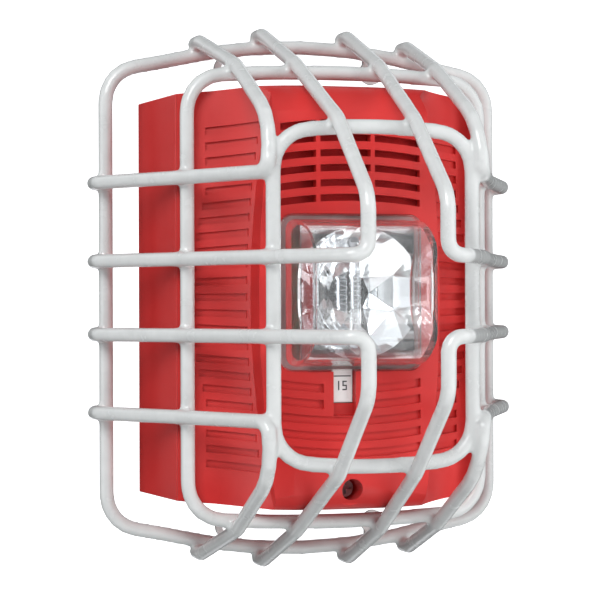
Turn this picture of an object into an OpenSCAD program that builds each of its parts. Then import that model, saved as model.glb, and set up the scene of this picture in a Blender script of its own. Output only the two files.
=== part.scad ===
// Wall horn strobe on a surface back box, under a welded wire guard.
// Millimetres. X to the right of someone facing the wall, Y into the wall, Z up.
// The origin is on the wall, at the centre of the back box's rear face.
// "Depth" is the distance in front of the wall, so a point at depth d has Y = -d.

/* [Back box] */
// Width of the box at the wall
box_w = 130; // [122:1:160]
// Height of the box at its side edges
box_h = 150; // [142:1:190]
// Depth of the box from the wall to its front edge
box_d = 40; // [36:1:60]
// How much each side leans in by the front edge
box_draft = 5; // [2:0.5:6]
// Rise of the bowed top and bottom edges at the middle
crown = 4; // [2:0.5:6]
// Box wall thickness
box_wall = 3; // [2:0.5:4]
// Diameter of the wall fixing holes
fix_hole_d = 5; // [4:0.5:6]
// Distance between wall fixing holes, across
fix_dx = 46; // [40:1:60]
// Distance between wall fixing holes, up and down
fix_dz = 83.5; // [70:0.5:90]
// Diameter of the cable entries
entry_d = 22; // [16:0.5:24]

/* [Head] */
// Depth of the head from the gasket to the front of the centre column
head_d = 26; // [24:1:34]
// Wall thickness of the moulded head
head_wall = 2.4; // [1.8:0.2:3]
// Width of the centre column at mid height
column_w = 70; // [66:1:84]
// How much narrower each side of the column gets by its ends
column_taper = 6; // [1:0.5:7]
// Rise of the column's bowed front at the middle
column_bow = 2.2; // [1:0.2:3]
// Radius of the rounded top shoulder
top_r = 18; // [12:1:22]
// Radius of the rounded bottom shoulder
bottom_r = 11; // [8:1:14]
// Thickness of the foam gasket under the head
gasket_t = 1; // [0.5:0.5:2]

/* [Louvres and grilles] */
// Number of louvres on each side
louvre_count = 23; // [14:1:24]
// Height of one louvre
louvre_h = 2.8; // [2:0.2:3.2]
// Distance from one louvre to the next
louvre_pitch = 5.6; // [5:0.1:6.5]
// Slope of the louvres near the ends of the head, in degrees
louvre_tilt = 6; // [0:0.5:8]
// Distance from the middle over which the louvres' outer ends swell outwards
louvre_swell = 38; // [24:1:60]
// Drop of each slot and groove from its middle to its ends
slot_drop = 2; // [0:0.2:3]
// From the head's side to the outer ends of the middle louvres
louvre_end = 5; // [4:0.5:8]
// Depth of the louvres and of the lower grooves
groove_t = 1.2; // [0.6:0.2:1.4]
// Number of lower grooves
groove_count = 5; // [3:1:5]
// Height of one lower groove
groove_h = 3.2; // [2.4:0.2:3.6]
// Distance from one lower groove to the next
groove_pitch = 5.9; // [5:0.1:6.2]
// Number of slots in the sound grille
slot_count = 6; // [4:1:6]
// Height of one grille slot
slot_h = 2.6; // [2:0.2:3]
// Distance from one grille slot to the next
slot_pitch = 5.5; // [4.8:0.1:5.6]
// Width of the grille
grille_w = 54; // [48:1:56]
// Width of the two upright grille ribs
grille_rib = 1.6; // [1:0.2:2.4]

/* [Lens and flash] */
// Width of the lens flange
lens_w = 55; // [50:1:58]
// Height of the lens flange
lens_h = 57.4; // [52:0.2:60]
// Width of the lens dome
dome_w = 47; // [42:1:48]
// Radius of the dome seen from the side
dome_r = 26.4; // [25:0.2:27]
// How far the dome's front stands out from the column
dome_d = 33; // [28:0.1:40]
// Lens wall thickness
lens_t = 1.8; // [1.4:0.2:2.2]
// Height of the lens centre above the box centre
lens_z = 1.5; // [0:0.5:3]
// Diameter of the flash tube
tube_d = 4; // [3:0.2:5]
// Length of the flash tube's glass
tube_l = 32; // [26:1:34]

/* [Controls] */
// Width of the candela slider
slider_w = 8; // [6:0.5:9]
// Height of the candela slider's label face
slider_h = 16; // [14:1:18]
// Travel of the candela slider, up from its lowest setting
slider_travel = 6; // [2:1:6]
// Height of the finger recess under the slider
recess_h = 4.6; // [3:0.2:6]
// Diameter of the tone selector's rotor
rotor_d = 8; // [6:0.5:10]
// Thread diameter of the captive cover screw
cover_screw_d = 3.5; // [3:0.5:4]

/* [Wire guard] */
// Wire diameter over its coating
wire_d = 5.2; // [4:0.02:6.4]
// From the box's side to the back ring's centre line
back_gap_x = 13.4; // [8:0.2:20]
// From the box's top to the back ring's centre line
back_gap_z = 19.5; // [14:0.5:26]
// Drop of the back ring's bowed top at its sides
back_drop = 13.8; // [4:0.2:18]
// How far the middle ring's sides lie in from the box's front edge
mid_inset = 2.6; // [0:0.2:4]
// From the head's top to the middle ring's centre line
mid_gap_z = 5.2; // [4:0.2:10]
// From the head's rear edge out to the middle ring
mid_gap_d = 6; // [5:0.5:16]
// From the column's side to the front ring's centre line
front_gap_x = 2.5; // [1:0.5:6]
// How far the front ring's top lies below the box's top corners
front_inset = 14.4; // [8:0.2:24]
// From the column's front out to the front ring
front_gap_d = 25; // [20:0.5:40]
// Drop of the middle and front rings' bowed tops at their sides
ring_drop = 2.9; // [1:0.1:6]
// From the dome's front out to the inner wires
nose_gap = 29; // [16:0.5:50]
// Half width of the opening between the inner wires
nose_x = 14.5; // [12:0.5:20]
// Half height of the opening between the inner wires
nose_z = 14; // [12:0.5:20]
// Height of the inner wires' upright stretch beside the opening
nose_rise = 20.5; // [14:0.5:24]
// How far a weld sinks one wire into the other
weld = 0.8; // [0.4:0.1:1.2]
// Diameter of the screw holes in the guard's lugs
lug_hole_d = 4.5; // [4:0.5:5.5]
// Distance between the lug holes, across
lug_dx = 60; // [50:1:66]

/* [Hidden] */
$fn = 48;

// Clearances
fit = 0.3;       // loose clearance between separate pieces
running = 0.05;  // radial clearance of a turning fit
eps = 0.01;      // overrun that keeps a cut clean

// Depths, from the wall outwards
front_w = box_w - 2 * box_draft;               // box width at its front edge
plate_t = 3;                                   // mounting plate
plate_back = box_d - 1 - plate_t;              // depth of the plate's rear face
plate_front = plate_back + plate_t;
head_back = box_d + gasket_t;                  // depth of the head's rear edge
cover_t = 2;                                   // rear cover
cover_back = head_back + 0.6;
cover_front = cover_back + cover_t;
board_back = cover_front + 7;                  // circuit board
board_t = 1.6;
board_front = board_back + board_t;
column_front = head_back + head_d;             // middle of the column's front
column_edge = column_front - column_bow;       // column's front at its side edges
column_in = column_edge - head_wall;           // roof of the column's cavity

// Heights
half_h = box_h / 2;
grille_top = half_h - 10.9;                    // centre of the highest grille slot
groove_top = lens_z - lens_h / 2 - 6.7;        // centre of the highest lower groove
screw_z = -(half_h + crown - 8);               // cover screw
slider_x = -3;
slider_z = lens_z - lens_h / 2 - 3.7;          // middle of the label face at its lowest
window_top = slider_z + slider_h / 2 + slider_travel + fit;
window_bottom = slider_z - slider_h / 2 - fit;
recess_bottom = window_bottom - recess_h;
sounder_z = half_h - 27.5;

// Widths
rib_x = [-12.8, 8.2];                          // upright ribs of the sound grille
cover_w = 2 * (flank_x(cover_front) - 1);      // rear cover, held between the flanks
board_w = 2 * (flank_x(board_front) - 0.7);    // circuit board, also between the flanks
side_x = column_w / 2 - 4;                     // reach of the tall components inside the column
board_h = box_h - 32;
insert_x = front_w / 2 - 12;                   // plate screws and the box's inserts
insert_z = half_h - 13;
boss_d = 6.4;                                  // bosses for the screws that close the head
boss_z = half_h - 7.4;
boss_x = column_half(boss_z) - boss_d / 2 - 0.7;
insert_d = 6;                                  // brass inserts
plate_screw_d = 4;                             // screws through the plate
head_screw_d = 3;                              // screws that close the head
block_z = half_h - 30;                         // terminal block
pin_pitch = 7.6;
entry_depth = box_d / 2;
ground = [-36, -20];                           // ground screw, X and Z

// Colours
red = [0.72, 0.10, 0.13];
white = [0.90, 0.90, 0.89];
steel = [0.72, 0.73, 0.75];
brass = [0.80, 0.66, 0.34];
black = [0.09, 0.09, 0.10];
chrome = [0.86, 0.87, 0.89];
green = [0.06, 0.33, 0.18];
clear = [0.92, 0.94, 0.95, 0.35];

// Solid from an outline seen from the front, between two depths
module out(d0, d1) {
    rotate([90, 0, 0]) translate([0, 0, d0]) linear_extrude(d1 - d0) children();
}

// Solid from an outline in Y and Z, centred across X
module across(w) {
    translate([-w / 2, 0, 0]) rotate([90, 0, 90]) linear_extrude(w) children();
}

// Solid from an outline seen from above, between two heights
module upward(z0, z1) {
    translate([0, 0, z0]) linear_extrude(z1 - z0) children();
}

// Round bar pointing out from the wall
module bar(x, z, d0, d1, dia) {
    translate([x, -d0, z]) rotate([90, 0, 0]) cylinder(d = dia, h = d1 - d0);
}

// Block between two depths
module block(x, z, w, h, d0, d1) {
    translate([x - w / 2, -d1, z - h / 2]) cube([w, d1 - d0, h]);
}

// Cross recess in a screw's head, cut from a depth outwards
module cross_slot(x, z, length, width, d0) {
    block(x, z, length, width, d0, d0 + 3);
    block(x, z, width, length, d0, d0 + 3);
}

module rounded_rect(w, h, r) {
    square([w - 2 * r, h], center = true);
    square([w, h - 2 * r], center = true);
    for (x = [-1, 1], z = [-1, 1]) translate([x * (w / 2 - r), z * (h / 2 - r)]) circle(r);
}

// Points along a bowed edge of half width a that rises by c at its middle
function bow(a, z, c, n = 16) = [for (i = [0 : n]) let (t = 1 - 2 * i / n) [a * t, z + c * (1 - t * t)]];

// Bowed outline of the box and the head: half width, half height at the sides
module bowed_outline(a, h, c) {
    top = bow(a, h, c);
    polygon(concat(top, [for (p = top) -p]));
}

// ---- Back box -------------------------------------------------------------

// Plan of the box: sides lean in by the draft
module box_plan(inset) {
    polygon([[-box_w / 2 + inset, 0], [box_w / 2 - inset, 0], [front_w / 2 - inset, -box_d],
             [-front_w / 2 + inset, -box_d]]);
}

module box_bosses() {
    for (x = [-1, 1], z = [-1, 1]) bar(x * insert_x, z * insert_z, box_wall - eps, plate_back, 9);
}

module back_box() color(red) difference() {
    union() {
        difference() {
            intersection() {
                upward(-half_h - crown - 1, half_h + crown + 1) box_plan(0);
                out(0, box_d) bowed_outline(box_w / 2, half_h, crown);
            }
            intersection() {
                upward(-half_h - crown, half_h + crown) box_plan(box_wall);
                out(box_wall, box_d + 1) bowed_outline(box_w / 2 - box_wall, half_h - box_wall, crown);
            }
        }
        box_bosses();
        bar(ground.x, ground.y, box_wall - eps, box_wall + 4, 9);
    }
    for (x = [-1, 1], z = [-1, 1]) {
        bar(x * fix_dx / 2, z * fix_dz / 2, -1, box_wall + 1, fix_hole_d);
        bar(x * insert_x, z * insert_z, plate_back - 9, plate_back + 1, insert_d);
    }
    bar(0, 0, -1, box_wall + 1, entry_d);
    for (z = [-1, 1]) translate([0, -entry_depth, z * half_h]) cylinder(d = entry_d, h = 20, center = true);
    bar(ground.x, ground.y, 1.2, box_wall + 5, ground_d + 2 * running);
}

module threaded_inserts() color(brass)
    for (x = [-1, 1], z = [-1, 1]) difference() {
        bar(x * insert_x, z * insert_z, plate_back - 8, plate_back, insert_d);
        bar(x * insert_x, z * insert_z, plate_back - 9, plate_back + 1, plate_screw_d);
    }

// Rubber grommet in the rear cable entry
module cable_grommet() color(black) difference() {
    union() {
        bar(0, 0, 0.3, box_wall + 2.6, entry_d);
        bar(0, 0, box_wall, box_wall + 2.6, entry_d + 5);
    }
    bar(0, 0, -1, box_wall + 4, entry_d - 9);
}

// Blanking plugs in the top and bottom conduit entries
module conduit_plugs() color(red)
    for (s = [0, 1]) mirror([0, 0, s]) translate([0, -entry_depth, 0]) difference() {
        union() {
            translate([0, 0, half_h - 2.5]) cylinder(d = entry_d, h = crown + 2.4);
            translate([0, 0, half_h + crown - box_wall - 4.5]) cylinder(d = entry_d + 5, h = 3);
        }
        translate([0, 0, half_h + crown - 3]) cylinder(d = 9, h = 4, $fn = 6);
    }

ground_d = 4.2;                                 // ground screw's thread

module ground_screw() color([0.25, 0.55, 0.30]) difference() {
    union() {
        bar(ground.x, ground.y, 1.3, box_wall + 6, ground_d);
        bar(ground.x, ground.y, box_wall + 4.4, box_wall + 7, 8.5);
    }
    cross_slot(ground.x, ground.y, 6.5, 1.2, box_wall + 6);
}

// ---- Mounting plate and terminals ----------------------------------------

module mounting_plate() color(black) difference() {
    union() {
        out(plate_back, plate_front) intersection() {
            bowed_outline(front_w / 2 - box_wall - 2 * fit, half_h - box_wall - fit, crown);
            rounded_rect(front_w, box_h + 2 * crown, 9);
        }
        bar(0, screw_z + 1, plate_back - 2, plate_front, 8);
        out(plate_back, plate_front + 1.4) difference() {
            rounded_rect(cover_w - 6, box_h - 24, 6);
            rounded_rect(cover_w - 9, box_h - 27, 5);
        }
    }
    for (x = [-1, 1], z = [-1, 1]) bar(x * insert_x, z * insert_z, plate_back - 1, plate_front + 2,
                                             plate_screw_d + 2 * fit);
    out(plate_back - 5, plate_front + 5) rounded_rect(36, 44, 5);
    bar(0, screw_z, plate_back - 5, plate_front + 1, cover_screw_d + 2 * running);
}

module plate_screws() color(steel)
    for (x = [-1, 1], z = [-1, 1]) difference() {
        union() {
            bar(x * insert_x, z * insert_z, plate_back - 6, plate_front, plate_screw_d);
            bar(x * insert_x, z * insert_z, plate_front, plate_front + 1.8, 7);
        }
        cross_slot(x * insert_x, z * insert_z, 4.6, 1, plate_front + 0.9);
    }

block_d = 9;                                    // terminal block, out from the plate
function pin_x(i) = (i - 2.5) * pin_pitch;

module terminal_block() color(black) difference() {
    block(0, block_z, 6 * pin_pitch + 4, 14, plate_front, plate_front + block_d);
    for (i = [0 : 5]) {
        block(pin_x(i), block_z + 3, pin_pitch - 1.6, 6, plate_front + 3, plate_front + block_d + 1);
        block(pin_x(i), block_z - 4, 3.4, 3.4, plate_front + 2, plate_front + block_d + 1);
    }
}

module terminal_clamps() color(brass)
    for (i = [0 : 5]) difference() {
        block(pin_x(i), block_z + 3, pin_pitch - 2.2, 5.4, plate_front + 3, plate_front + 4.2);
        bar(pin_x(i), block_z + 3, plate_front + 2, plate_front + 5, 3);
    }

module terminal_screws() color(steel)
    for (i = [0 : 5]) difference() {
        union() {
            bar(pin_x(i), block_z + 3, plate_front + 3, plate_front + 5, 3);
            bar(pin_x(i), block_z + 3, plate_front + 4.2, plate_front + 6.2, 5);
        }
        block(pin_x(i), block_z + 3, 4, 0.9, plate_front + 5.4, plate_front + 7);
    }

// Leaf spring that bridges the terminals while the head is off
module shorting_spring() color(brass) {
    block(0, block_z - 12, 24, 5, plate_front, plate_front + 0.5);
    for (x = [-1, 1]) block(x * 11, block_z - 17, 2, 6, plate_front, plate_front + 0.5);
}

module box_gasket() color(black) out(box_d, head_back) difference() {
    bowed_outline(front_w / 2 - 0.8, half_h - 0.8, crown);
    bowed_outline(front_w / 2 - 2.6, half_h - 2.6, crown);
}

// ---- Head -----------------------------------------------------------------

// The flank sweeps from the seam in to the column along a quadratic curve
function flank_edge(i) = [[front_w / 2, head_back + 1], [front_w / 2 - 20, head_back + 2],
    [column_w / 2 - column_taper - 1, column_edge - 2.8]][i];
function flank_at(t) = (1 - t) * (1 - t) * flank_edge(0) + 2 * t * (1 - t) * flank_edge(1)
    + t * t * flank_edge(2);
function flank_dir(t) = (1 - t) * (flank_edge(1) - flank_edge(0)) + t * (flank_edge(2) - flank_edge(1));
function flank_in(t) = let (v = flank_dir(t) / norm(flank_dir(t))) [-v.y, v.x];
// Points of one flank, moved in by a distance, as X and depth
function flank(inset, n = 12) = [for (k = [0 : n]) flank_at(k / n) + inset * flank_in(k / n)];
// Half the room between the flanks at a depth
function flank_x(d) = lookup(d, [for (p = flank(head_wall)) [p.y, p.x]]);
function to_plan(pts, side) = [for (p = pts) [side * p.x, -p.y]];

module flank_plan(inset) {
    f = flank(inset);
    lip = [front_w / 2 - inset, head_back - 1];
    polygon(concat([[lip.x, -lip.y]], to_plan(f, 1), to_plan([for (k = [len(f) - 1 : -1 : 0]) f[k]], -1),
                   [[-lip.x, -lip.y]]));
}

function column_half(z) = column_w / 2 - column_taper * pow(z / half_h, 2);

module column_outline(inset, n = 16) {
    side = [for (k = [0 : n]) let (z = (half_h + crown + 2) * (1 - 2 * k / n)) [column_half(z) - inset, z]];
    polygon(concat(side, [for (p = side) -p]));
}

module column_plan(inset) {
    front = bow(column_w / 2, column_edge - inset, column_bow);
    polygon(concat([[column_w / 2, 0]], to_plan(front, 1), [[-column_w / 2, 0]]));
}

// Side view of the head with its rounded shoulders, in Y and Z
module shoulder_profile(inset) {
    top = half_h + crown;
    difference() {
        translate([-column_front + inset, -top + inset]) square([column_front, 2 * (top - inset)]);
        translate([-column_front + inset, top - top_r]) square([top_r - inset, top_r]);
        translate([-column_front + inset, -top]) square([bottom_r - inset, bottom_r]);
    }
    translate([-column_front + top_r, top - top_r]) circle(top_r - inset);
    translate([-column_front + bottom_r, -top + bottom_r]) circle(bottom_r - inset);
}

module head_form(inset) {
    back = head_back - (inset > 0 ? 0.5 : 0);
    tall = half_h + crown + 1;
    intersection() {
        union() {
            upward(-tall, tall) flank_plan(inset);
            intersection() {
                out(back, column_front) column_outline(inset);
                upward(-tall, tall) column_plan(inset);
            }
        }
        out(back, inset > 0 ? column_in : column_front + 1)
            bowed_outline(front_w / 2 - inset, half_h - inset, crown);
        across(front_w) shoulder_profile(inset);
    }
}

// Recesses in the flanks, which lean towards the nearer end of the head the further they are from
// its middle
module louvres() {
    skin = flank(0);
    floor = flank(groove_t);
    band = concat(skin, [for (k = [len(floor) - 1 : -1 : 0]) floor[k]]);
    for (i = [0 : louvre_count - 1], side = [-1, 1]) {
        z = (louvre_count - 1) * louvre_pitch / 2 - i * louvre_pitch;
        outer = front_w / 2 - louvre_end - 5.4 * min(1, pow(z / louvre_swell, 2));
        inner = column_half(z) + 1;
        intersection() {
            upward(z - 2 * louvre_h, z + 2 * louvre_h) intersection() {
                polygon(to_plan([for (p = band) p + [0, 0.02]], side));
                translate([side > 0 ? inner : -outer, -column_front]) square([outer - inner, head_d]);
            }
            translate([side * outer, -column_front, z])
                rotate([0, side * louvre_tilt * z / norm([z, 15]), 0])
                    translate([-outer, 0, -louvre_h / 2]) cube([2 * outer, head_d, louvre_h]);
        }
    }
}

// Outline of a slot bowed away from the lens, as high as h all along; z is its middle's height
module bowed_slot(z, h) {
    drop = sign(z) * slot_drop;
    low = bow(grille_w / 2, z - h / 2 - drop, drop, 10);
    high = bow(grille_w / 2, z + h / 2 - drop, drop, 10);
    polygon(concat(high, [for (k = [len(low) - 1 : -1 : 0]) low[k]]));
}

// One slot of the grille, with the upright ribs left standing
module grille_slots(z) {
    out(column_in - 2, column_front + 1) difference() {
        bowed_slot(z, slot_h);
        for (x = rib_x) translate([x - grille_rib / 2, z - 3 * slot_h]) square([grille_rib, 6 * slot_h]);
    }
}

// Shallow grooves under the lens; the upper ones stop beside the candela window
module lower_grooves() {
    for (i = [0 : groove_count - 1]) {
        z = groove_top - i * groove_pitch;
        floor_d = column_edge - groove_t;
        difference() {
            out(floor_d, column_front + 1) bowed_slot(z, groove_h);
            upward(z - 2 * groove_h, z + 2 * groove_h) polygon(concat([[grille_w, 0]],
                to_plan(bow(column_w / 2, column_edge - groove_t, column_bow), 1), [[-grille_w, 0]]));
            if (z + groove_h / 2 > recess_bottom)
                out(floor_d - 1, column_front + 2)
                    translate([slider_x - slider_w / 2 - 4, z - 2 * groove_h])
                        square([slider_w + 11, 4 * groove_h]);
        }
    }
}

module front_housing() color(red) difference() {
    union() {
        difference() {
            head_form(0);
            head_form(head_wall);
        }
        intersection() {
            union() {
                for (x = [-1, 1], z = [-1, 1])
                    bar(x * boss_x, z * boss_z, cover_front, column_in + 1, boss_d);
                bar(0, screw_z, cover_front + 2, column_in + 1, screw_boss_d);
            }
            out(cover_front, column_in + 1) bowed_outline(front_w / 2 - 1, half_h - 1, crown);
        }
    }
    louvres();
    for (i = [0 : slot_count - 1]) grille_slots(grille_top - i * slot_pitch);
    lower_grooves();
    out(seat, column_front + 1) translate([0, lens_z]) rounded_rect(lens_w + 2 * fit, lens_h + 2 * fit, 5);
    out(column_in - 3, column_front) translate([0, lens_z]) rounded_rect(throat_w, throat_h, 4);
    block(slider_x, (window_top + window_bottom) / 2, slider_w + 2 * fit, window_top - window_bottom,
          column_in - 2, column_front + 1);
    block(slider_x, (window_bottom + recess_bottom) / 2, slider_w + 2 * fit,
          window_bottom - recess_bottom + eps, column_in + 1, column_front + 1);
    for (x = [-1, 1], z = [-1, 1]) bar(x * boss_x, z * boss_z, cover_front - 1, cover_front + 12,
                                             head_screw_d);
    bar(0, screw_z, cover_front, column_front + 1, cover_screw_d + 2 * fit);
    bar(0, screw_z, screw_seat, column_front + 1, 8);
}

seat = column_edge - 0.4;                      // lens seat
screw_boss_d = 12;                             // boss round the cover screw
screw_seat = column_front - 12.5;              // shoulder under the cover screw's head
throat_w = dome_w - 3;                         // opening behind the lens
throat_h = 2 * dome_r - 3;

module rear_cover() color(black) difference() {
    out(cover_back, cover_front) rounded_rect(cover_w, 2 * (half_h - head_wall - fit), 6);
    out(cover_back - 1, cover_front + 1) translate([0, block_z])
        square([6 * pin_pitch + 5, 15], center = true);
    for (x = [-1, 1], z = [-1, 1]) bar(x * boss_x, z * boss_z, cover_back - 1, cover_front + 1,
                                             head_screw_d + 2 * fit);
    bar(rotor_x, rotor_z, cover_back - 1, cover_front + 1, rotor_d + 4 * fit);
    bar(0, screw_z, cover_back - 1, cover_front + 1, cover_screw_d + 4 * fit);
}

module rear_cover_screws() color(steel)
    for (x = [-1, 1], z = [-1, 1]) {
        bar(x * boss_x, z * boss_z, cover_back, cover_front + 8, head_screw_d);
        bar(x * boss_x, z * boss_z, cover_back - 0.5, cover_back, 5.6);
    }

module contact_pins() color(brass)
    for (i = [0 : 5]) block(pin_x(i), block_z - 4, 1.6, 1.6, plate_front + 3, board_back);

// ---- Electronics ----------------------------------------------------------

rotor_x = side_x - 11;                         // tone selector
rotor_z = -20;
coil = [8.5 - side_x, -34];                    // trigger transformer, X and Z

module circuit_board() color(green) difference() {
    out(board_back, board_front) rounded_rect(board_w, board_h, 3);
    for (z = [-1, 1]) bar(0, lens_z + z * lead_z, board_back - 1, board_front + 1, 1.4);
}

capacitor_d = column_in - board_front - 0.4;    // the flash capacitor just clears the roof
capacitor_l = 30;

module flash_capacitor() color([0.12, 0.16, 0.35])
    translate([-capacitor_l / 2, -board_front - capacitor_d / 2, 7 - board_h / 2])
        rotate([0, 90, 0]) cylinder(d = capacitor_d, h = capacitor_l);

module filter_capacitors() color([0.12, 0.16, 0.35])
    for (z = [-30, -39]) bar(side_x - 8.5, z, board_front, board_front + 7, 6.3);

module trigger_transformer() color([0.55, 0.35, 0.12]) {
    block(coil.x, coil.y, 9, 10, board_front, board_front + 1.5);
    bar(coil.x, coil.y, board_front + 1.5, board_front + 7, 7);
    bar(coil.x, coil.y, board_front + 7, board_front + 8.4, 9);
}

module boost_inductor() color([0.25, 0.25, 0.27]) difference() {
    bar(side_x - 7.5, 20, board_front, board_front + 6, 12);
    bar(side_x - 7.5, 20, board_front - 1, board_front + 7, 4);
}

module control_chip() color(black) {
    block(coil.x, 4, 6, 10, board_front + 0.2, board_front + 1.8);
    for (x = [-1, 1], i = [0 : 6])
        block(coil.x + x * 3.7, 4 + (i - 3) * 1.3, 1.4, 0.5, board_front, board_front + 0.9);
}

chamber_r = 17;

module sounder_disc() color(brass) {
    bar(0, sounder_z, board_front + 3.4, board_front + 3.8, 2 * chamber_r - 2.4);
    bar(0, sounder_z, board_front + 3.8, board_front + 4.1, 2 * chamber_r - 9);
}

module sounder_chamber() color(black) difference() {
    bar(0, sounder_z, board_front, column_in - 0.8, 2 * chamber_r);
    bar(0, sounder_z, board_front + 1, board_front + 3.4, 2 * chamber_r - 4);
    bar(0, sounder_z, board_front + 3.4, column_in, 2 * chamber_r - 2.4);
}

module insect_screen() color([0.2, 0.2, 0.2])
    out(column_in - 0.7, column_in - 0.3) difference() {
        translate([0, grille_top - (slot_count - 1) * slot_pitch / 2])
            square([grille_w, (slot_count - 1) * slot_pitch + slot_h + 2 * slot_drop + 1], center = true);
        for (x = [-1, 1]) translate([x * boss_x, boss_z]) circle(d = boss_d + 2 * fit);
    }

// ---- Flash and lens -------------------------------------------------------

bowl_back = column_in - 4.4;                   // back of the bowl at its middle
bowl_t = 1.5;
bowl_q = 43;                                   // four times the focal length
bowl_r = dome_r - 2;                           // mouth radius
bowl_w = dome_w - 2 * lens_t - 2 * fit;        // its sides and its corner flange, inside the dome
bowl_front = bowl_back + bowl_t + bowl_r * bowl_r / bowl_q;
focus_d = bowl_back + bowl_t + bowl_q / 4;
lead_z = tube_l / 2 + 1.2;

function bowl_curve(h, n = 14) = [for (k = [0 : n]) let (r = bowl_r * k / n) [r, h + r * r / bowl_q]];

module flash_tube() color(clear)
    translate([0, -focus_d, lens_z - tube_l / 2]) cylinder(d = tube_d, h = tube_l);

module tube_leads() color(steel) for (s = [-1, 1]) {
    translate([0, -focus_d, lens_z + s * lead_z])
        cylinder(d = tube_d - 0.6, h = 2 * (lead_z - tube_l / 2), center = true);
    bar(0, lens_z + s * lead_z, board_back - 1, focus_d, 1.2);
}

module reflector() color(chrome) difference() {
    union() {
        intersection() {
            inner = bowl_curve(bowl_back + bowl_t);
            translate([0, 0, lens_z]) rotate([90, 0, 0]) rotate_extrude()
                polygon(concat(bowl_curve(bowl_back), [for (k = [len(inner) - 1 : -1 : 0]) inner[k]]));
            block(0, lens_z, bowl_w, throat_h, bowl_back - 1, column_front + 20);
        }
        out(bowl_front - 1, bowl_front) translate([0, lens_z]) difference() {
            square([bowl_w, 2 * bowl_r], center = true);
            circle(bowl_r - 0.8);
        }
        for (x = [-1, 1]) bar(x * 16, lens_z, board_front, bowl_back + 16 * 16 / bowl_q + 0.6, 3);
    }
    for (z = [-1, 1]) bar(0, lens_z + z * lead_z, bowl_back - 1, focus_d + 4, 4.4);
}

dome_front = column_front + dome_d - 0.5;

// Dome seen from the side: a half round on straight walls, in Y and Z
module dome_side(inset) {
    translate([-dome_front + dome_r, lens_z]) circle(dome_r - inset);
    translate([-dome_front + dome_r, lens_z - dome_r + inset])
        square([dome_front - dome_r, 2 * (dome_r - inset)]);
}

// Dome seen from above, with rounded front corners, in X and Y
module dome_plan(inset) {
    r = 7 - inset;
    a = dome_w / 2 - inset;
    translate([-a, -dome_front + 7]) square([2 * a, dome_front]);
    for (x = [-1, 1]) translate([x * (a - r), -dome_front + 7]) circle(r);
    translate([-a + r, -dome_front + inset]) square([2 * (a - r), 7]);
}

module dome(inset, back) {
    intersection() {
        across(lens_w) dome_side(inset);
        upward(lens_z - lens_h, lens_z + lens_h) dome_plan(inset);
        block(0, lens_z, lens_w, lens_h, back, dome_front + 1);
    }
}

flange_back = seat + 0.5;

module strobe_lens() color(clear) difference() {
    union() {
        out(flange_back, flange_back + 2.4) translate([0, lens_z]) rounded_rect(lens_w, lens_h, 5);
        dome(0, flange_back + 1);
    }
    dome(lens_t, flange_back - 1);
}

module lens_gasket() color([0.85, 0.85, 0.85]) out(seat, flange_back)
    translate([0, lens_z]) difference() {
        rounded_rect(lens_w - 1, lens_h - 1, 5);
        rounded_rect(lens_w - 5, lens_h - 3.4, 4);
    }

// ---- Controls -------------------------------------------------------------

slider_front = seat - 0.8;
switch_front = board_front + 4.4;
peg = 3;                                       // square peg from the slider into its switch

module candela_slider() color(white) {
    block(slider_x, slider_z, slider_w, slider_h, column_in - 0.4, slider_front);
    block(slider_x, slider_z, slider_w + 4, slider_h, column_in - 2, column_in - 0.4);
    block(slider_x, slider_z, peg, peg, board_front + 1.6, column_in - 2);
}

module candela_label() color(white)
    block(slider_x, slider_z, slider_w - 0.6, slider_h - 0.6, slider_front, slider_front + 0.3);

module candela_switch() color(black) difference() {
    z = slider_z + slider_travel / 2;
    block(slider_x, z, 9, slider_travel + 11, board_front, switch_front);
    block(slider_x, z, peg + 2 * fit, slider_travel + peg + 2 * fit, board_front + 1.2, switch_front + 1);
}

module tone_switch() color([0.1, 0.2, 0.5]) difference() {
    block(rotor_x, rotor_z, rotor_d + 5, rotor_d + 5, cover_front + 0.6, board_back);
    bar(rotor_x, rotor_z, cover_front, cover_front + 4, rotor_d);
}

module tone_rotor() color(white) difference() {
    bar(rotor_x, rotor_z, cover_back + 0.4, cover_front + 3.8, rotor_d - 2 * running);
    block(rotor_x, rotor_z, rotor_d - 2, 1.2, cover_back, cover_back + 1.6);
    block(rotor_x + rotor_d / 4, rotor_z, 1.2, 2.4, cover_back, cover_back + 1.6);
}

module cover_screw() color(steel) difference() {
    union() {
        bar(0, screw_z, plate_back - 1.5, screw_seat + 1, cover_screw_d);
        bar(0, screw_z, screw_seat, screw_seat + 2.6, 6.6);
    }
    cross_slot(0, screw_z, 4.6, 1, screw_seat + 1.2);
}

// Washer pressed on the screw's shank that keeps it in the head
module screw_retainer() color(black) difference() {
    bar(0, screw_z, cover_front + 0.6, cover_front + 1.6, 7);
    bar(0, screw_z, cover_front, cover_front + 3, cover_screw_d);
}

// ---- Wire guard -----------------------------------------------------------

function unit(v) = v / norm(v);
function pt(x, d, z) = [x, -d, z];

// Points round a bend of radius r at corner p, between unit directions u and w
function bend(p, u, w, r, n = 4) = let (
    turn = acos(max(-1, min(1, u * w))),
    m = turn < 0.5 ? u : unit(w - u * cos(turn)),
    c = p - u * r * tan(turn / 2) + m * r)
    turn < 0.5 ? [p] : [for (k = [0 : n]) let (a = turn * k / n) c + r * (u * sin(a) - m * cos(a))];

// A route with its inner corners rounded to the radii given
function rounded(pts, radii) = let (last = len(pts) - 1) [for (i = [0 : last])
    each i == 0 || i == last ? [pts[i]]
        : bend(pts[i], unit(pts[i] - pts[i - 1]), unit(pts[i + 1] - pts[i]), radii[i])];

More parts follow.
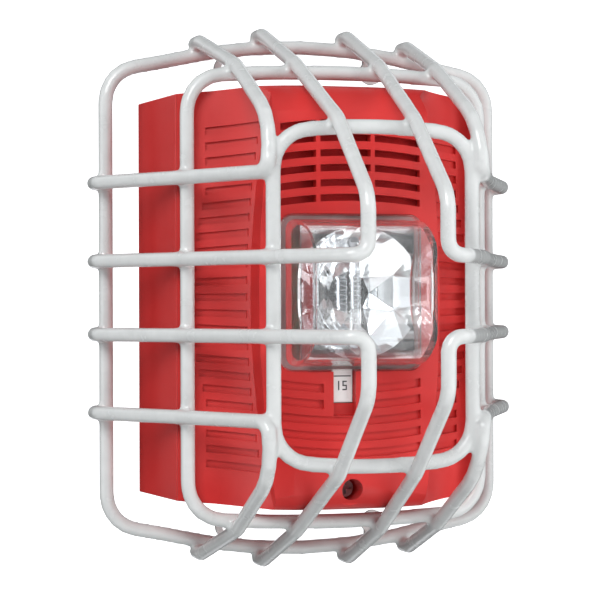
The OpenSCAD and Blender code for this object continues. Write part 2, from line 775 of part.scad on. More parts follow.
// Side directions along a route, each squared up from the one before
function square_up(v, t) = unit(v - t * (v * t));
function frames(dirs, i, v) = i == len(dirs) ? []
    : let (s = square_up(v, dirs[i])) concat([s], frames(dirs, i + 1, s));
function route_dirs(pts) = let (last = len(pts) - 1) [for (i = [0 : last])
    unit(pts[min(i + 1, last)] - pts[max(i - 1, 0)])];

wire_sides = 8;

function ring_points(c, t, s) = let (w = cross(t, s), r = wire_d / 2 / sqrt(cos(180 / wire_sides)))
    [for (k = [0 : wire_sides - 1]) let (a = 360 * k / wire_sides) c + r * (s * cos(a) + w * sin(a))];

// Faces between cross-sections; a closed wire joins the last to the first
function tube_faces(n, closed) = concat(
    [for (i = [0 : n - (closed ? 1 : 2)], k = [0 : wire_sides - 1]) let (
        j = (i + 1) % n, q = (k + 1) % wire_sides, a = i * wire_sides, b = j * wire_sides)
        each [[a + k, a + q, b + q], [a + k, b + q, b + k]]],
    closed ? [] : [[for (k = [wire_sides - 1 : -1 : 0]) k],
        [for (k = [0 : wire_sides - 1]) (n - 1) * wire_sides + k]]);

module open_wire(pts) {
    dirs = route_dirs(pts);
    side = frames(dirs, 0, abs(dirs[0].z) > 0.9 ? [1, 0, 0] : [0, 0, 1]);
    polyhedron([for (i = [0 : len(pts) - 1]) each ring_points(pts[i], dirs[i], side[i])],
               tube_faces(len(pts), false));
}

module closed_wire(pts) {
    n = len(pts);
    dirs = [for (i = [0 : n - 1]) unit(pts[(i + 1) % n] - pts[(i + n - 1) % n])];
    polyhedron([for (i = [0 : n - 1]) each ring_points(pts[i], dirs[i], [0, -1, 0])], tube_faces(n, true));
}

// Height of a ring's bowed top at a place across
function ring_top(size, x) = size.y - size.z * pow(x / size.x, 2);

corner_r = 14;                                 // bend radius of the rings' corners
tight = 5;                                     // bend radii of the wires
wide = 12;

// One closed ring: bowed top and bottom, straight sides, round corners
module guard_ring(size, depth) {
    top = [for (k = [-3 : 3]) let (x = (size.x - corner_r) * k / 3.4) pt(x, depth, ring_top(size, x))];
    corner = pt(size.x, depth, ring_top(size, size.x) + size.z / 6);
    upper = bend(corner, unit(corner - top[6]), [0, 0, -1], corner_r, 5);
    lower = [for (k = [len(upper) - 1 : -1 : 0]) [upper[k].x, upper[k].y, -upper[k].z]];
    half = concat(top, upper, lower);
    closed_wire(concat(half, [for (p = half) [-p.x, p.y, -p.z]]));
}

back_ring = [box_w / 2 + back_gap_x, half_h + crown + back_gap_z, back_drop];
mid_ring = [front_w / 2 - mid_inset, half_h + crown + mid_gap_z, ring_drop];
mid_ring_d = head_back + mid_gap_d;
front_ring = [column_w / 2 + front_gap_x, half_h - front_inset, ring_drop];
front_ring_d = column_front + front_gap_d;
nose_d = dome_front + nose_gap;

// How far an upright or level wire lies outside the ring it is welded to
gap = wire_d - weld;
lean = unit([1, 1]) * gap;
wall_leg = 9;                                  // length of the square stub at the wall
back_d = wire_d / 2;
outer_z = front_ring.y - 16.6;                 // height of the outer level wires
outer_x = [front_ring.x + 5, front_ring.x + 1];  // outer upright wires, at the wall and in front
inner_x = nose_x + 3;                          // inner upright wires at the wall
tip = 0.4;                                     // the wires' cut ends, just clear of the wall

// A wire from the top tip, in over the rings and back out to the side tip
function inner_route() = let (
    side = back_ring.x + gap,
    top = ring_top(back_ring, inner_x) + gap,
    mid_top = ring_top(mid_ring, inner_x) + lean.y,
    front_top = ring_top(front_ring, nose_x) + lean.y)
    [pt(inner_x, tip, top), pt(inner_x, wall_leg, top), pt(inner_x - 1, mid_ring_d + lean.x, mid_top),
     pt(nose_x, front_ring_d + lean.x, front_top), pt(nose_x, nose_d, nose_z + nose_rise),
     pt(nose_x, nose_d, nose_z),
     pt(nose_x + 7, nose_d, nose_z), pt(front_ring.x + lean.y, front_ring_d + lean.x, nose_z),
     pt(mid_ring.x + lean.y, mid_ring_d + lean.x, nose_z),
     pt(side, wall_leg, nose_z), pt(side, tip, nose_z)];

function outer_route() = let (
    side = back_ring.x + gap,
    top = ring_top(back_ring, outer_x[0]) + gap,
    mid_top = ring_top(mid_ring, outer_x[1]) + lean.y)
    [pt(outer_x[0], tip, top), pt(outer_x[0], wall_leg, top),
     pt(outer_x[1] + 1, mid_ring_d + lean.x, mid_top),
     pt(outer_x[1] + 0.6, front_ring_d + gap, front_ring.y + 1),
     pt(front_ring.x + lean.y, front_ring_d + lean.x, outer_z),
     pt(mid_ring.x + lean.y, mid_ring_d + lean.x, outer_z),
     pt(side, wall_leg, outer_z), pt(side, tip, outer_z)];

// Quarter 1 is top right, and the rest follow clockwise seen from the front
module quarter(i) {
    mirror([i > 2 ? 1 : 0, 0, 0]) mirror([0, 0, i == 2 || i == 3 ? 1 : 0]) children();
}

module guard_back_ring() color(white) guard_ring(back_ring, back_d);
module guard_middle_ring() color(white) guard_ring(mid_ring, mid_ring_d);
module guard_front_ring() color(white) guard_ring(front_ring, front_ring_d);
module guard_outer_wire(i) color(white) quarter(i)
    open_wire(rounded(outer_route(), [0, tight, wide, 2 * wide, tight, wide, tight, 0]));
module guard_inner_wire(i) color(white) quarter(i)
    open_wire(rounded(inner_route(), [0, tight, wide, wide, wide, tight, tight, wide, wide, tight, 0]));

// Welded lugs that take the screws into the wall
module guard_lugs() color(white)
    for (x = [-1, 1], z = [-1, 1]) difference() {
        union() {
            bar(x * lug_dx / 2, z * lug_z, 0, 2, lug_hole_d + 5);
            block(x * lug_dx / 2, z * (lug_z + 4), 7, 6, 0, 2);
        }
        bar(x * lug_dx / 2, z * lug_z, -1, 3, lug_hole_d);
    }

lug_z = ring_top(back_ring, lug_dx / 2) - wire_d / 2 - 4.4;

back_box();
threaded_inserts();
cable_grommet();
conduit_plugs();
ground_screw();
mounting_plate();
plate_screws();
terminal_block();
terminal_screws();
terminal_clamps();
shorting_spring();
box_gasket();
front_housing();
rear_cover();
rear_cover_screws();
contact_pins();
circuit_board();
flash_capacitor();
filter_capacitors();
trigger_transformer();
boost_inductor();
control_chip();
sounder_disc();
sounder_chamber();
insect_screen();
flash_tube();
tube_leads();
reflector();
strobe_lens();
lens_gasket();
candela_slider();
candela_label();
candela_switch();
tone_switch();
tone_rotor();
cover_screw();
screw_retainer();
guard_back_ring();
guard_middle_ring();
guard_front_ring();
guard_outer_wire(1);  // guard_outer_wire_1
guard_outer_wire(2);  // guard_outer_wire_2
guard_outer_wire(3);  // guard_outer_wire_3
guard_outer_wire(4);  // guard_outer_wire_4
guard_inner_wire(1);  // guard_inner_wire_1
guard_inner_wire(2);  // guard_inner_wire_2
guard_inner_wire(3);  // guard_inner_wire_3
guard_inner_wire(4);  // guard_inner_wire_4
guard_lugs();
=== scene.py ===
import math

import bmesh
import bpy
from mathutils import Matrix, Vector


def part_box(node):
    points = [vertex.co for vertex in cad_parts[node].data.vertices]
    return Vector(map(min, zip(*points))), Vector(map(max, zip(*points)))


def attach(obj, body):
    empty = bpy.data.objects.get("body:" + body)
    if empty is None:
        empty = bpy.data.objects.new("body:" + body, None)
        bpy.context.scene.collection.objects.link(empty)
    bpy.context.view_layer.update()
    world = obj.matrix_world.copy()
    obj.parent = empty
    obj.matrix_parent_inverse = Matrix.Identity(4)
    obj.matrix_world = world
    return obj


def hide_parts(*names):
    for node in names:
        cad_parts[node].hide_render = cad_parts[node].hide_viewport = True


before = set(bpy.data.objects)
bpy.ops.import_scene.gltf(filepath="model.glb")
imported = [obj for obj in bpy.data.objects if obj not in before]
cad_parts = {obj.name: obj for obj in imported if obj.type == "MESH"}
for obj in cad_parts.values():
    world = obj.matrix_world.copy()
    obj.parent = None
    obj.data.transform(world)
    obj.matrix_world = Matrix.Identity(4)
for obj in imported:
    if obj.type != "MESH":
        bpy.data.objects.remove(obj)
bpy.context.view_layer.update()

MM = 0.001


# ---- Back box ---------------------------------------------------------------
# The surface back box is one injection moulding in red ABS, with four bosses for brass
# inserts. It is screwed to the wall and carries everything else.

BOX_EDGE = 0.7 * MM
WELD_GAP = 0.002 * MM                 # corners nearer than this are one corner
FLAT_WITHIN = 0.6                     # degrees between faces that count as one flat face
RED = (0.54, 0.019, 0.018, 1)
RED_WORN = (0.62, 0.036, 0.034, 1)


def add(tree, kind, **settings):
    """A node with its settings, and values given as a dict from socket to value."""
    made = tree.nodes.new(kind)
    values = settings.pop("values", {})
    for name, value in settings.items():
        setattr(made, name, value)
    for socket, value in values.items():
        made.inputs[socket].default_value = value
    return made


def moulded_grain():
    """Spark-eroded grain, faint flow marks and the colour drift of moulded plastic or a dipped coat."""
    tree = bpy.data.node_groups.new("moulded_grain", "ShaderNodeTree")
    sockets = [("Colour", "NodeSocketColor", None), ("Second Colour", "NodeSocketColor", None),
               ("Grain Size", "NodeSocketFloat", 0.0005), ("Grain Height", "NodeSocketFloat", 0.2),
               ("Drift Size", "NodeSocketFloat", 0.03), ("Low Roughness", "NodeSocketFloat", 0.3),
               ("High Roughness", "NodeSocketFloat", 0.5)]
    for name, kind, value in sockets:
        made = tree.interface.new_socket(name, in_out="INPUT", socket_type=kind)
        if value is not None:
            made.default_value = value
    for name, kind in (("Colour", "NodeSocketColor"), ("Roughness", "NodeSocketFloat"),
                       ("Normal", "NodeSocketVector")):
        tree.interface.new_socket(name, in_out="OUTPUT", socket_type=kind)
    link = tree.links.new
    enter, leave = add(tree, "NodeGroupInput"), add(tree, "NodeGroupOutput")
    place = add(tree, "ShaderNodeTexCoord")
    per_grain = add(tree, "ShaderNodeMath", operation="DIVIDE", values={0: 1.0})
    per_drift = add(tree, "ShaderNodeMath", operation="DIVIDE", values={0: 1.0})
    link(enter.outputs["Grain Size"], per_grain.inputs[1])
    link(enter.outputs["Drift Size"], per_drift.inputs[1])
    grain = add(tree, "ShaderNodeTexNoise", values={"Detail": 3.0, "Roughness": 0.6})
    drift = add(tree, "ShaderNodeTexNoise", values={"Detail": 4.0, "Roughness": 0.55, "Distortion": 0.6})
    for noise, scale in ((grain, per_grain), (drift, per_drift)):
        link(place.outputs["Object"], noise.inputs["Vector"])
        link(scale.outputs[0], noise.inputs["Scale"])
    spread = add(tree, "ShaderNodeMapRange", values={"From Min": 0.3, "From Max": 0.7})
    link(drift.outputs["Fac"], spread.inputs["Value"])
    blend = add(tree, "ShaderNodeMix", data_type="RGBA")
    link(spread.outputs["Result"], blend.inputs["Factor"])
    link(enter.outputs["Colour"], blend.inputs[6])
    link(enter.outputs["Second Colour"], blend.inputs[7])
    link(blend.outputs[2], leave.inputs["Colour"])
    both = add(tree, "ShaderNodeMath", operation="MULTIPLY_ADD", values={1: 0.45})
    link(grain.outputs["Fac"], both.inputs[0])
    half = add(tree, "ShaderNodeMath", operation="MULTIPLY", values={1: 0.55})
    link(spread.outputs["Result"], half.inputs[0])
    link(half.outputs[0], both.inputs[2])
    shine = add(tree, "ShaderNodeMapRange")
    link(both.outputs[0], shine.inputs["Value"])
    link(enter.outputs["Low Roughness"], shine.inputs["To Min"])
    link(enter.outputs["High Roughness"], shine.inputs["To Max"])
    link(shine.outputs["Result"], leave.inputs["Roughness"])
    relief = add(tree, "ShaderNodeBump", values={"Distance": 0.0001})
    link(enter.outputs["Grain Height"], relief.inputs["Strength"])
    link(grain.outputs["Fac"], relief.inputs["Height"])
    link(relief.outputs["Normal"], leave.inputs["Normal"])
    return tree


GRAIN = moulded_grain()


def finish(name, colour, second, grain_mm, height, drift_mm, low, high, **shader):
    """A material on the moulded grain, with the values that are the same all over set on its shader."""
    made = bpy.data.materials.new(name)
    made.use_nodes = True
    tree = made.node_tree
    surface = tree.nodes["Principled BSDF"]
    skin = add(tree, "ShaderNodeGroup", node_tree=GRAIN, values={
        "Colour": colour, "Second Colour": second, "Grain Size": grain_mm * MM, "Grain Height": height,
        "Drift Size": drift_mm * MM, "Low Roughness": low, "High Roughness": high})
    tree.links.new(skin.outputs["Colour"], surface.inputs["Base Color"])
    tree.links.new(skin.outputs["Roughness"], surface.inputs["Roughness"])
    tree.links.new(skin.outputs["Normal"], surface.inputs["Normal"])
    for socket, value in shader.items():
        surface.inputs[socket.replace("_", " ")].default_value = value
    return made


def finished(shape, name):
    """The mesh of a bmesh that is done."""
    mesh = bpy.data.meshes.new(name)
    shape.to_mesh(mesh)
    shape.free()
    return mesh


def dress(piece, material):
    piece.data.materials.clear()
    piece.data.materials.append(material)


def smooth(mesh, angle=35):
    for face in mesh.polygons:
        face.use_smooth = True
    mesh.set_sharp_from_angle(angle=math.radians(angle))


def place(name, mesh, material, body, slot, *nodes):
    """Puts a finished mesh in the model: its material, the body it moves with and what it stands for."""
    piece = bpy.data.objects.new(name, mesh)
    bpy.context.scene.collection.objects.link(piece)
    dress(piece, material)
    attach(piece, body)
    if nodes:
        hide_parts(*nodes)
    return piece


def moulding(node, name, material, body, slot, edge, segments=2, angle=28):
    """A moulded part's own shape, with every sharp edge rounded as the mould leaves it."""
    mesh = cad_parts[node].data.copy()
    shape = bmesh.new()
    shape.from_mesh(mesh)
    bmesh.ops.remove_doubles(shape, verts=shape.verts, dist=WELD_GAP)
    bmesh.ops.dissolve_limit(shape, angle_limit=math.radians(FLAT_WITHIN), verts=shape.verts,
                             edges=shape.edges)
    shape.to_mesh(mesh)
    shape.free()
    if "custom_normal" in mesh.attributes:
        mesh.attributes.remove(mesh.attributes["custom_normal"])
    smooth(mesh, angle)
    piece = place(name, mesh, material, body, slot, node)
    rounding = piece.modifiers.new("rounding", "BEVEL")
    rounding.width = edge
    rounding.segments = segments
    rounding.profile = 0.5
    rounding.limit_method = "ANGLE"
    rounding.angle_limit = math.radians(angle)
    rounding.harden_normals = True
    rounding.miter_outer = "MITER_ARC"
    return piece


red_plastic = finish("red_plastic", RED, RED_WORN, 0.45, 0.16, 45, 0.30, 0.46, Specular_IOR_Level=0.5)
moulding("back_box", "back_box_shell", red_plastic, "root", "red_plastic", BOX_EDGE)


# ---- Fittings of the back box -------------------------------------------------
# Knurled brass inserts are pressed into the bosses, a rubber grommet fills the rear cable
# entry, red plugs blank the two conduit entries, and a green screw takes the earth wire.

GROMMET_EDGE = 0.5 * MM
PLUG_EDGE = 0.4 * MM
SCREW_EDGE = 0.15 * MM
brass = finish("brass", (0.62, 0.44, 0.16, 1), (0.50, 0.33, 0.11, 1), 0.3, 0.1, 5, 0.22, 0.38, Metallic=1.0)
rubber = finish("black_rubber", (0.018, 0.018, 0.018, 1), (0.030, 0.029, 0.028, 1), 0.35, 0.4, 12, 0.6, 0.8)
green_dye = finish("green_dye", (0.03, 0.17, 0.05, 1), (0.05, 0.24, 0.08, 1), 0.2, 0.1, 4, 0.25, 0.4,
                   Metallic=0.85)
dress(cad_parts["threaded_inserts"], brass)
moulding("cable_grommet", "grommet", rubber, "root", "black_rubber", GROMMET_EDGE)
moulding("conduit_plugs", "blanking_plugs", red_plastic, "root", "red_plastic", PLUG_EDGE)
moulding("ground_screw", "earth_screw", green_dye, "root", "green_screw", SCREW_EDGE)


# ---- Mounting plate and terminals ---------------------------------------------
# The black plate is screwed to the inserts. It carries the terminal block, whose brass
# clamps are closed by plated screws, and the leaf spring that bridges them.

black_plastic = finish("black_plastic", (0.012, 0.012, 0.013, 1), (0.022, 0.022, 0.024, 1), 0.4, 0.25, 20,
                       0.45, 0.62)
zinc = finish("zinc_steel", (0.56, 0.57, 0.59, 1), (0.44, 0.45, 0.47, 1), 0.25, 0.12, 4, 0.24, 0.42,
              Metallic=1.0)
for node in ("mounting_plate", "terminal_block", "rear_cover", "sounder_chamber", "candela_switch",
             "control_chip", "screw_retainer"):
    dress(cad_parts[node], black_plastic)
for node in ("plate_screws", "terminal_screws", "rear_cover_screws", "tube_leads"):
    dress(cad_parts[node], zinc)
for node in ("terminal_clamps", "shorting_spring", "contact_pins", "sounder_disc"):
    dress(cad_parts[node], brass)


# ---- Gasket -------------------------------------------------------------------
# A soft black foam ring is squeezed between the box and the head.

dress(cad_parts["box_gasket"], rubber)


# ---- Head ---------------------------------------------------------------------
# The head is one thin moulding in the box's red: louvred flanks that sweep up to a
# centre column, which holds the sound grille, the lens and the candela window.

HEAD_EDGE = 0.45 * MM
HEAD_EDGE_ANGLE = 24                  # degrees; takes in the crease between flank and column
moulding("front_housing", "head_shell", red_plastic, "root", "red_plastic", HEAD_EDGE, 2, HEAD_EDGE_ANGLE)


# ---- Electronics --------------------------------------------------------------
# A green circuit board fills the head. It carries the flash capacitor, the coils and the
# controller, and the piezo disc in its black chamber behind the grille.

board_green = finish("green_board", (0.012, 0.085, 0.035, 1), (0.02, 0.14, 0.055, 1), 0.8, 0.1, 3,
                     0.3, 0.45)
sleeve_blue = finish("blue_sleeve", (0.012, 0.03, 0.12, 1), (0.02, 0.045, 0.17, 1), 0.6, 0.1, 8, 0.22, 0.34)
copper = finish("copper_winding", (0.42, 0.14, 0.045, 1), (0.30, 0.09, 0.03, 1), 0.15, 0.4, 2, 0.25, 0.4,
                Metallic=0.9)
ferrite = finish("ferrite", (0.030, 0.030, 0.032, 1), (0.045, 0.045, 0.047, 1), 0.3, 0.4, 4, 0.6, 0.75)
screen_cloth = finish("dark_mesh", (0.55, 0.016, 0.018, 1), (0.42, 0.012, 0.014, 1), 0.3, 0.6, 8, 0.6, 0.8)
for node, material in (("circuit_board", board_green), ("flash_capacitor", sleeve_blue),
                       ("filter_capacitors", sleeve_blue), ("tone_switch", sleeve_blue),
                       ("trigger_transformer", copper), ("boost_inductor", ferrite),
                       ("insect_screen", screen_cloth)):
    dress(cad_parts[node], material)


# ---- Reflector ----------------------------------------------------------------
# The dish is a moulded bowl with flat facets in a square flange, metallised to a mirror and
# cut straight at its two sides. Two posts hold it on the board.

chrome = finish("mirror_chrome", (0.90, 0.91, 0.92, 1), (0.84, 0.85, 0.87, 1), 2.0, 0.02, 10, 0.03, 0.08,
                Metallic=1.0)
# Corners of the facets: share of the rim's radius, how many, and turn in steps
FACET_CORNERS = ((0.34, 8, 0.0), (0.72, 8, 0.5), (1.0, 32, 0.0))
DISH_DEPTH = 13.85 * MM
DISH_WALL = 1.0 * MM
SAME_PLACE = 0.01 * MM
low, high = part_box("reflector")
dish_half = (high.x - low.x) / 2
dish_r = (high.z - low.z) / 2
dish_rim = -low.y
dish_middle = Vector(((low.x + high.x) / 2, 0, (low.z + high.z) / 2))
dish_back = dish_rim - DISH_DEPTH


def dish():
    """A paraboloid's facets are the hull of the corners that lie on it, without the hull's flat lid."""
    shape = bmesh.new()
    for share, count, turn in FACET_CORNERS:
        for k in range(count):
            angle = 2 * math.pi * (k + turn) / count
            depth = dish_back + (dish_rim - dish_back) * share ** 2
            shape.verts.new((dish_middle.x + dish_r * share * math.cos(angle), -depth,
                             dish_middle.z + dish_r * share * math.sin(angle)))
    bmesh.ops.convex_hull(shape, input=shape.verts)
    lid = [face for face in shape.faces if all(-vert.co.y > dish_rim - SAME_PLACE for vert in face.verts)]
    bmesh.ops.delete(shape, geom=lid, context="FACES")
    rim = [edge for edge in shape.edges if edge.is_boundary]
    outer = bmesh.ops.extrude_edge_only(shape, edges=rim)["geom"]
    for vert in outer:
        if isinstance(vert, bmesh.types.BMVert):
            across, up = vert.co.x - dish_middle.x, vert.co.z - dish_middle.z
            reach = dish_r / max(abs(across), abs(up))
            vert.co.x, vert.co.z = dish_middle.x + across * reach, dish_middle.z + up * reach
    for side in (-1, 1):
        bmesh.ops.bisect_plane(shape, geom=shape.verts[:] + shape.edges[:] + shape.faces[:],
                               plane_co=(side * dish_half, 0, 0), plane_no=(side, 0, 0), clear_outer=True)
    bmesh.ops.remove_doubles(shape, verts=shape.verts, dist=SAME_PLACE)
    return finished(shape, "dish")


mirror = place("faceted_dish", dish(), chrome, "root", "mirror_chrome", "reflector")
wall = mirror.modifiers.new("wall", "SOLIDIFY")
wall.thickness = DISH_WALL
wall.offset = -1


# ---- Flash tube ---------------------------------------------------------------
# A quartz tube with metal end caps stands on its leads in the dish, and the trigger wire
# is wound round it.

quartz = finish("tube_glass", (0.96, 0.98, 1.0, 1), (0.92, 0.95, 0.97, 1), 3, 0.02, 6, 0.01, 0.03,
                Transmission_Weight=0.9, IOR=1.46)
dress(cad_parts["flash_tube"], quartz)
COIL_TURNS = 7
COIL_WIRE = 0.35 * MM
COIL_END = 4 * MM                     # bare glass at each end of the coil
COIL_STEPS = 20                       # sections in one turn
low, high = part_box("flash_tube")
tube_r = (high.x - low.x) / 2
tube_at = Vector(((low.x + high.x) / 2, (low.y + high.y) / 2, low.z + COIL_END))


def trigger_coil():
    """A wire's round section spun up the tube."""
    shape = bmesh.new()
    facing = Matrix.Translation(tube_at + Vector((tube_r + COIL_WIRE / 2, 0, 0))) @ Matrix.Rotation(
        math.pi / 2, 4, "X")
    bmesh.ops.create_circle(shape, cap_ends=False, segments=8, radius=COIL_WIRE / 2, matrix=facing)
    steps = COIL_STEPS * COIL_TURNS
    rise = (high.z - low.z - 2 * COIL_END) / steps
    bmesh.ops.spin(shape, geom=shape.verts[:] + shape.edges[:], cent=tube_at, axis=(0, 0, 1),
                   dvec=(0, 0, rise), angle=2 * math.pi * COIL_TURNS, steps=steps)
    bmesh.ops.recalc_face_normals(shape, faces=shape.faces)
    mesh = finished(shape, "trigger_coil")
    smooth(mesh, 60)
    return mesh


place("trigger_wire", trigger_coil(), zinc, "root", "zinc_steel")


# ---- Lens ---------------------------------------------------------------------
# The clear polycarbonate lens is a half-round dome on a flat flange, cemented into its seat
# over a thin foam gasket.

clear = finish("clear_lens", (0.97, 0.98, 0.98, 1), (0.94, 0.96, 0.965, 1), 3, 0.01, 20, 0.01, 0.03,
               Transmission_Weight=0.97, IOR=1.09, Coat_Weight=1.0, Coat_IOR=1.55, Coat_Roughness=0.01)
foam = finish("grey_foam", (0.62, 0.36, 0.36, 1), (0.68, 0.44, 0.44, 1), 0.5, 0.5, 6, 0.8, 0.95)


def pass_light(material, share):
    """Lets that share of the light through to what stands behind a clear part."""
    tree = material.node_tree
    leave = tree.nodes["Material Output"]
    ray = add(tree, "ShaderNodeLightPath")
    part = add(tree, "ShaderNodeMath", operation="MULTIPLY", values={1: share})
    through = add(tree, "ShaderNodeBsdfTransparent")
    either = add(tree, "ShaderNodeMixShader")
    tree.links.new(ray.outputs["Is Shadow Ray"], part.inputs[0])
    tree.links.new(part.outputs[0], either.inputs[0])
    tree.links.new(tree.nodes["Principled BSDF"].outputs[0], either.inputs[1])
    tree.links.new(through.outputs[0], either.inputs[2])
    tree.links.new(either.outputs[0], leave.inputs["Surface"])


CLEAR_SHARE = 0.92
pass_light(clear, CLEAR_SHARE)
pass_light(quartz, CLEAR_SHARE)
LENS_EDGE = 0.8 * MM
moulding("strobe_lens", "lens_dome", clear, "root", "clear_lens", LENS_EDGE, 3, 30)
dress(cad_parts["lens_gasket"], foam)


# ---- Candela slider and tone selector ------------------------------------------
# A white slider behind the window sets the brightness, and a small rotor in the rear cover
# sets the tone. The slider's label shows a generic scale.

white_plastic = finish("white_plastic", (0.78, 0.78, 0.76, 1), (0.72, 0.72, 0.70, 1), 0.5, 0.15, 10,
                       0.4, 0.55)
paper = finish("label_white", (0.86, 0.86, 0.85, 1), (0.80, 0.80, 0.79, 1), 0.2, 0.1, 5, 0.5, 0.6)
dress(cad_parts["candela_slider"], white_plastic)
dress(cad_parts["candela_label"], paper)
ink = finish("label_ink", (0.03, 0.03, 0.035, 1), (0.05, 0.05, 0.055, 1), 0.2, 0.1, 3, 0.5, 0.6)
PRINT = 0.06 * MM
# Bars of the scale: middle across and up from the label's middle, width and height, in millimetres
BARS = ((0, 1.7, 6.6, 0.4), (-1.4, -1.8, 0.5, 3.4), (0.9, -0.3, 1.7, 0.45), (0.3, -1.05, 0.45, 1.5),
        (0.9, -1.8, 1.7, 0.45), (1.55, -2.55, 0.45, 1.5), (0.9, -3.3, 1.7, 0.45))
low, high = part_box("candela_label")
label_at = Vector(((low.x + high.x) / 2, low.y - PRINT / 2, (low.z + high.z) / 2))


def printed():
    shape = bmesh.new()
    for across, up, width, height in BARS:
        size = Matrix.Diagonal((width * MM, PRINT, height * MM, 1))
        bmesh.ops.create_cube(shape, size=1,
                              matrix=Matrix.Translation(label_at + Vector((across, 0, up)) * MM) @ size)
    return finished(shape, "scale_print")


place("scale_print", printed(), ink, "candela_slider", "black_plastic")
dress(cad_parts["tone_rotor"], white_plastic)


# ---- Cover screw ----------------------------------------------------------------
# One captive plated screw in the bottom shoulder pulls the head on to the plate.

moulding("cover_screw", "captive_screw", zinc, "cover_screw", "zinc_steel", SCREW_EDGE)


# ---- Wire guard -----------------------------------------------------------------
# The guard is bent from steel wire and welded at every crossing, then dipped in a glossy
# white coat, which rounds the cut ends and fills the corners of the welds.

coat = finish("white_coat", (0.64, 0.655, 0.65, 1), (0.58, 0.595, 0.59, 1), 2.2, 0.25, 9, 0.18, 0.32,
              Coat_Weight=0.25, Coat_Roughness=0.08)

GUARD_NODES = ["guard_back_ring", "guard_middle_ring", "guard_front_ring"]
GUARD_NODES += [f"guard_{kind}_wire_{i}" for kind in ("outer", "inner") for i in (1, 2, 3, 4)]


def joined(names):
    """One mesh of several nodes' own shapes."""
    shape = bmesh.new()
    for name in names:
        shape.from_mesh(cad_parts[name].data)
    bmesh.ops.remove_doubles(shape, verts=shape.verts, dist=WELD_GAP)
    return finished(shape, "guard")


COAT_GRID = 0.85 * MM
COAT_BUILD = 0.22 * MM                # what the smoothing takes off the wire, put back by the coat
guard = place("coated_guard", joined(GUARD_NODES), coat, "root", "white_coat", *GUARD_NODES)
skin = guard.modifiers.new("coat", "REMESH")
skin.mode = "VOXEL"
skin.voxel_size = COAT_GRID
skin.use_smooth_shade = True
flow = guard.modifiers.new("flow", "SMOOTH")
flow.factor = 0.5
flow.iterations = 8
build = guard.modifiers.new("thickness", "DISPLACE")
build.strength = COAT_BUILD
build.mid_level = 0
dress(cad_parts["guard_lugs"], coat)


# ---- Camera, light and floor ------------------------------------------------------

LENS_MM = 140.34
camera = bpy.data.objects.new("camera", bpy.data.cameras.new("camera"))
bpy.context.scene.collection.objects.link(camera)
camera.location = (-0.266, -0.870, -0.003)
camera.rotation_euler = (math.radians(90.25), math.radians(0.2), math.radians(-16.9))
camera.data.sensor_width = 36
camera.data.lens = LENS_MM
camera.data.clip_start = 0.05
bpy.context.scene.camera = camera
LIT_POINT = (0, -0.04, 0)


def softbox(name, place_at, size, power):
    lamp = bpy.data.lights.new(name, "AREA")
    lamp.shape = "RECTANGLE"
    lamp.size, lamp.size_y = size
    lamp.energy = power
    made = bpy.data.objects.new(name, lamp)
    bpy.context.scene.collection.objects.link(made)
    made.location = place_at
    made.rotation_euler = (Vector(LIT_POINT) - Vector(place_at)).to_track_quat("-Z", "Y").to_euler()
    return made


softbox("key", (-0.60, -0.95, 0.70), (0.6, 0.6), 9.5)
softbox("fill", (0.90, -0.85, 0.10), (0.5, 0.9), 7).visible_glossy = False
softbox("side", (-1.1, -0.10, 0.1), (0.5, 0.9), 2.2)
softbox("low", (0.1, -0.60, -0.52), (0.7, 0.4), 3.0).visible_glossy = False

world = bpy.data.worlds.new("studio")
bpy.context.scene.world = world
world.use_nodes = True
CARD_CHOICE = 1.0                     # picks one layout of the studio's light and dark cards
sky = world.node_tree
around = add(sky, "ShaderNodeTexCoord")
rise = add(sky, "ShaderNodeSeparateXYZ")
lift = add(sky, "ShaderNodeMapRange",
           values={"From Min": -0.6, "From Max": 0.7, "To Min": 0.32, "To Max": 0.56})
sky.links.new(around.outputs["Generated"], rise.inputs[0])
sky.links.new(rise.outputs["Z"], lift.inputs["Value"])
cards = add(sky, "ShaderNodeTexNoise", noise_dimensions="4D",
            values={"Scale": 1.9, "Detail": 1.0, "Roughness": 0.4, "W": CARD_CHOICE})
edges = add(sky, "ShaderNodeMapRange",
            values={"From Min": 0.51, "From Max": 0.56, "To Min": 0.015, "To Max": 1.15})
sky.links.new(around.outputs["Generated"], cards.inputs["Vector"])
sky.links.new(cards.outputs["Fac"], edges.inputs["Value"])
ray = add(sky, "ShaderNodeLightPath")
seen = add(sky, "ShaderNodeMix", data_type="FLOAT")
mirrored = add(sky, "ShaderNodeMath", operation="MAXIMUM")
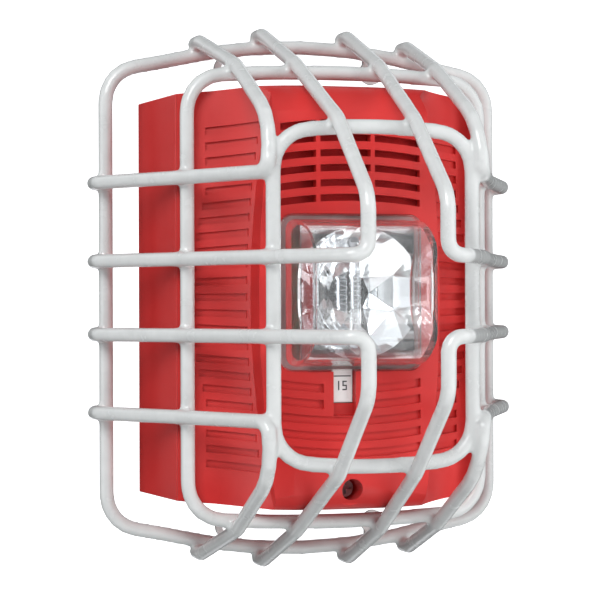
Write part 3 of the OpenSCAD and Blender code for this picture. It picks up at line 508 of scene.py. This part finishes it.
sky.links.new(ray.outputs["Is Glossy Ray"], mirrored.inputs[0])
sky.links.new(ray.outputs["Is Transmission Ray"], mirrored.inputs[1])
sky.links.new(mirrored.outputs[0], seen.inputs["Factor"])
sky.links.new(lift.outputs["Result"], seen.inputs["A"])
sky.links.new(edges.outputs["Result"], seen.inputs["B"])
plain = add(sky, "ShaderNodeMix", data_type="FLOAT", values={"B": 1.0})
sky.links.new(ray.outputs["Is Camera Ray"], plain.inputs["Factor"])
sky.links.new(seen.outputs["Result"], plain.inputs["A"])
sky.links.new(plain.outputs["Result"], sky.nodes["Background"].inputs["Strength"])
sky.nodes["Background"].inputs["Color"].default_value = (0.95, 0.97, 1.0, 1)


FLOOR_HALF = 3.0
FLOOR_AT = (0, -1.2, -0.6)
WALL_H = 4
SWEEP = 0.8


def backdrop():
    shape = bmesh.new()
    bmesh.ops.create_grid(shape, x_segments=1, y_segments=1, size=FLOOR_HALF)
    bmesh.ops.translate(shape, verts=shape.verts, vec=FLOOR_AT)
    back = [edge for edge in shape.edges if all(vert.co.y > 0 for vert in edge.verts)]
    raised = bmesh.ops.extrude_edge_only(shape, edges=back)["geom"]
    corners = [vert for vert in raised if isinstance(vert, bmesh.types.BMVert)]
    bmesh.ops.translate(shape, verts=corners, vec=(0, 0, WALL_H))
    bmesh.ops.bevel(shape, geom=back, affect="EDGES", offset=SWEEP, segments=16, profile=0.5, material=-1)
    return finished(shape, "backdrop")


floor = bpy.data.objects.new("floor", backdrop())
bpy.context.scene.collection.objects.link(floor)
paint = bpy.data.materials.new("pale_floor")
paint.use_nodes = True
pale = paint.node_tree.nodes["Principled BSDF"]
pale.inputs["Base Color"].default_value = (0.9, 0.9, 0.9, 1)
pale.inputs["Roughness"].default_value = 0.9
pale.inputs["Emission Color"].default_value = (1, 1, 1, 1)
pale.inputs["Emission Strength"].default_value = 0.75
floor.data.materials.append(paint)
floor.visible_glossy = False
floor.visible_diffuse = False
bpy.context.scene.view_settings.view_transform = "Standard"
